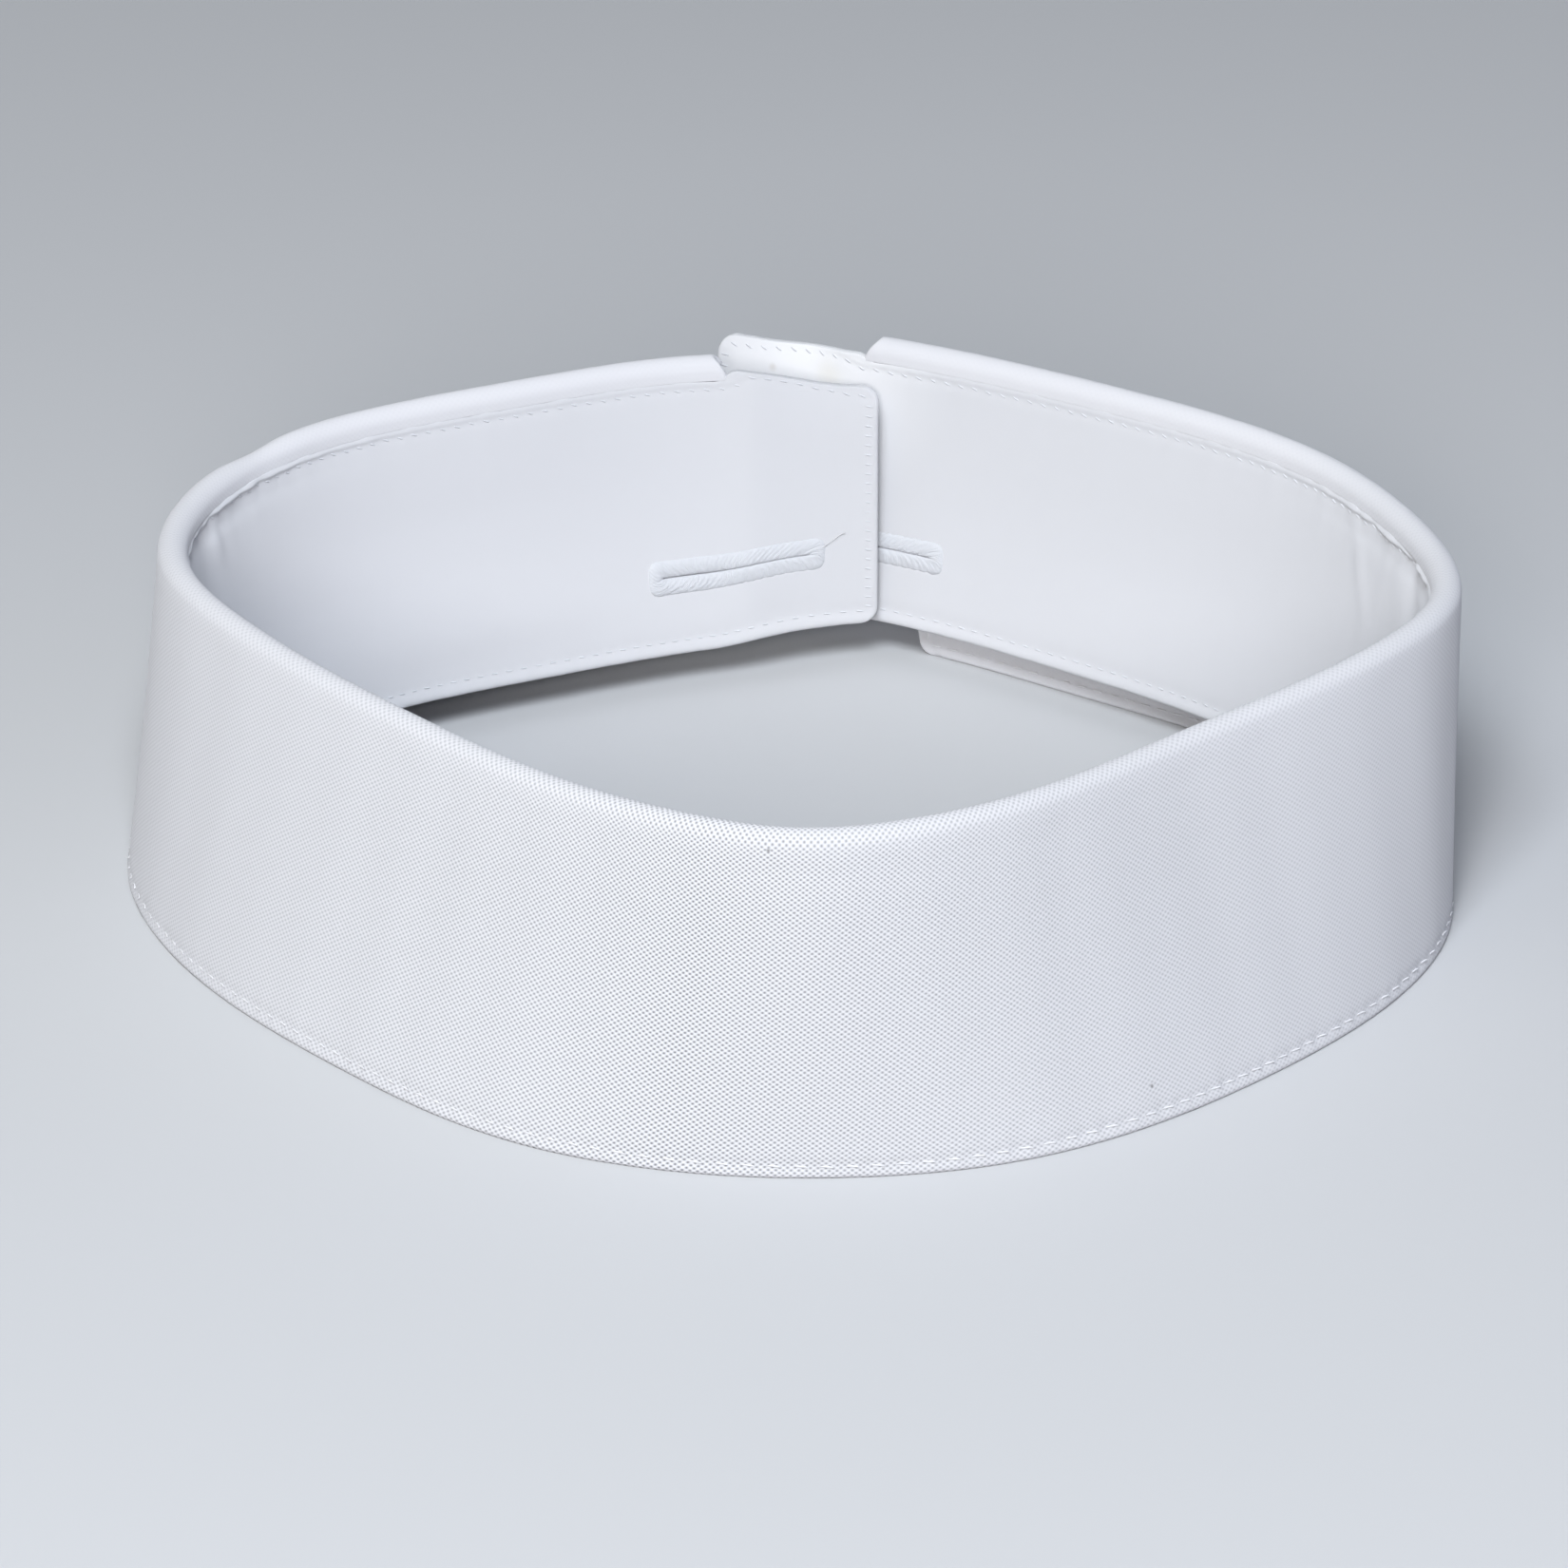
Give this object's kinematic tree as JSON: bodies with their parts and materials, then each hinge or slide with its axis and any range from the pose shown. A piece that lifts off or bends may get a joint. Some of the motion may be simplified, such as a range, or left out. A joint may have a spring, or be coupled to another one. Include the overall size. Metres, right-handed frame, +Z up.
{
  "type": "clerical collar",
  "caption": "Turned-down fabric collar on a buttoned inner band, closed at the back of the neck, standing on its hem as an open ring.",
  "frame": {"origin": "on the floor below the middle of the collar's box; the hem stands at z = 0", "axes": "+Z up along the height of the collar; +Y towards the opening at the back of the neck; +X to the right seen from the front"},
  "size_m": [0.1514, 0.1536, 0.0395],
  "materials": {
    "fall_cotton": "plain-weave white cotton, starched, soft sheen",
    "band_cotton": "fine smooth white cotton",
    "thread": "white cotton sewing thread"
  },
  "bodies": {
    "root": {"fall": "fall_cotton", "band": "band_cotton", "buttonhole_inner": "thread", "buttonhole_outer": "thread"}
  },
  "joints": []
}
